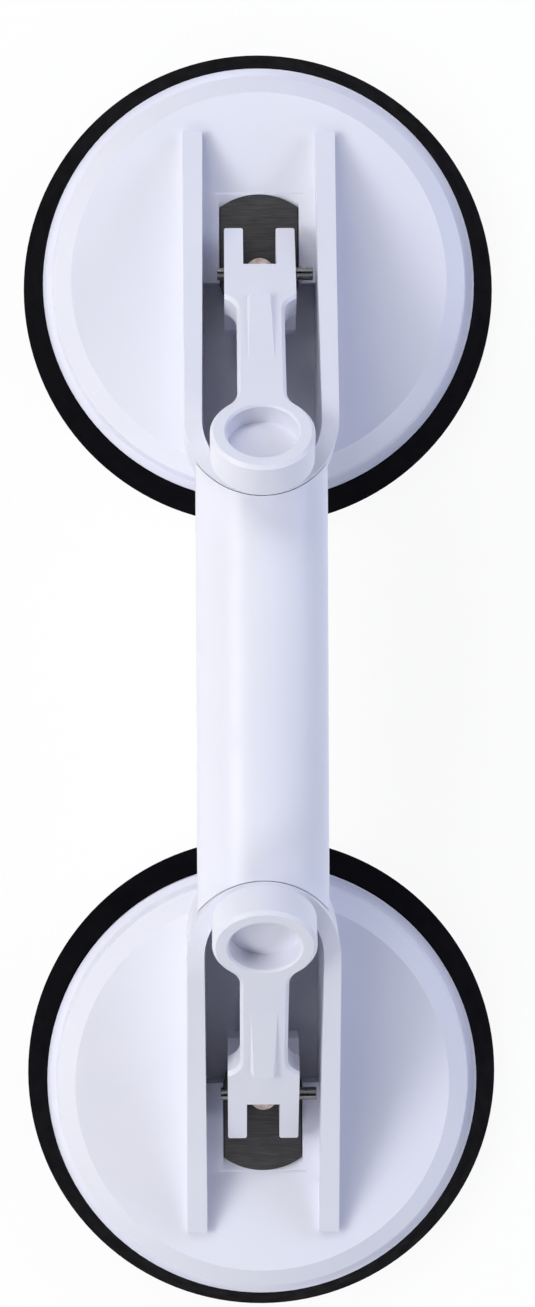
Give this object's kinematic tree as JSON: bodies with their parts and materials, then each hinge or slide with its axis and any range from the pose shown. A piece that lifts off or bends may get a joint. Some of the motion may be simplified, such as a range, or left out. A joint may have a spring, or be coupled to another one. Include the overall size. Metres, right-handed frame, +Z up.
{
  "type": "double suction cup lifter",
  "caption": "Hand tool with a rubber suction cup at each end of a straight oval grip; each cup is drawn up by a forked cam lever that swings in a walled channel.",
  "frame": {"origin": "on the surface that the cups stand on, under the middle of the grip", "axes": "+Z up, +Y along the tool from cup b to cup a, +X across the tool"},
  "size_m": [0.118, 0.315, 0.0808],
  "materials": {
    "white_plastic": "satin moulded white plastic, slightly cool",
    "black_rubber": "smooth moulded rubber",
    "brushed_plate": "dark brushed steel, grain across the plate",
    "plain_steel": "plain steel",
    "stud_steel": "plain turned steel, slightly warm",
    "pin_steel": "nickel-grey rolled strip",
    "screw_steel": "zinc-plated"
  },
  "bodies": {
    "root": {"suction_pad_a": "black_rubber", "wear_plate_a": "brushed_plate", "cup_housing_a": "white_plastic", "suction_pad_b": "black_rubber", "wear_plate_b": "brushed_plate", "cup_housing_b": "white_plastic", "grip_top": "white_plastic", "grip_cover": "white_plastic", "grip_screws": "screw_steel"},
    "stud_unit_a": {"anchor_disc_a": "plain_steel", "stud_a": "stud_steel", "pivot_pin_a": "pin_steel"},
    "lever_a": {"cam_lever_a": "white_plastic"},
    "stud_unit_b": {"anchor_disc_b": "plain_steel", "stud_b": "stud_steel", "pivot_pin_b": "pin_steel"},
    "lever_b": {"cam_lever_b": "white_plastic"}
  },
  "joints": [
    {"name": "stud_lift_a", "type": "slide", "parent": "root", "child": "stud_unit_a", "axis": [0, 0, 1], "range_m": [0, 0.00245], "deforming": ["suction_pad_a"]},
    {"name": "lever_swing_a", "type": "hinge", "parent": "stud_unit_a", "child": "lever_a", "pos_m": [0, 0.0985, 0.0309], "axis": [-1, 0, 0], "range_deg": [0, 60]},
    {"name": "stud_lift_b", "type": "slide", "parent": "root", "child": "stud_unit_b", "axis": [0, 0, 1], "range_m": [0, 0.00245], "deforming": ["suction_pad_b"]},
    {"name": "lever_swing_b", "type": "hinge", "parent": "stud_unit_b", "child": "lever_b", "pos_m": [0, -0.0985, 0.0309], "axis": [1, 0, 0], "range_deg": [0, 60]}
  ],
  "couplings": [
    {"joint": "stud_lift_a", "follows": "lever_swing_a", "m_per_rad": 0.0022918},
    {"joint": "stud_lift_b", "follows": "lever_swing_b", "m_per_rad": 0.0022918}
  ]
}
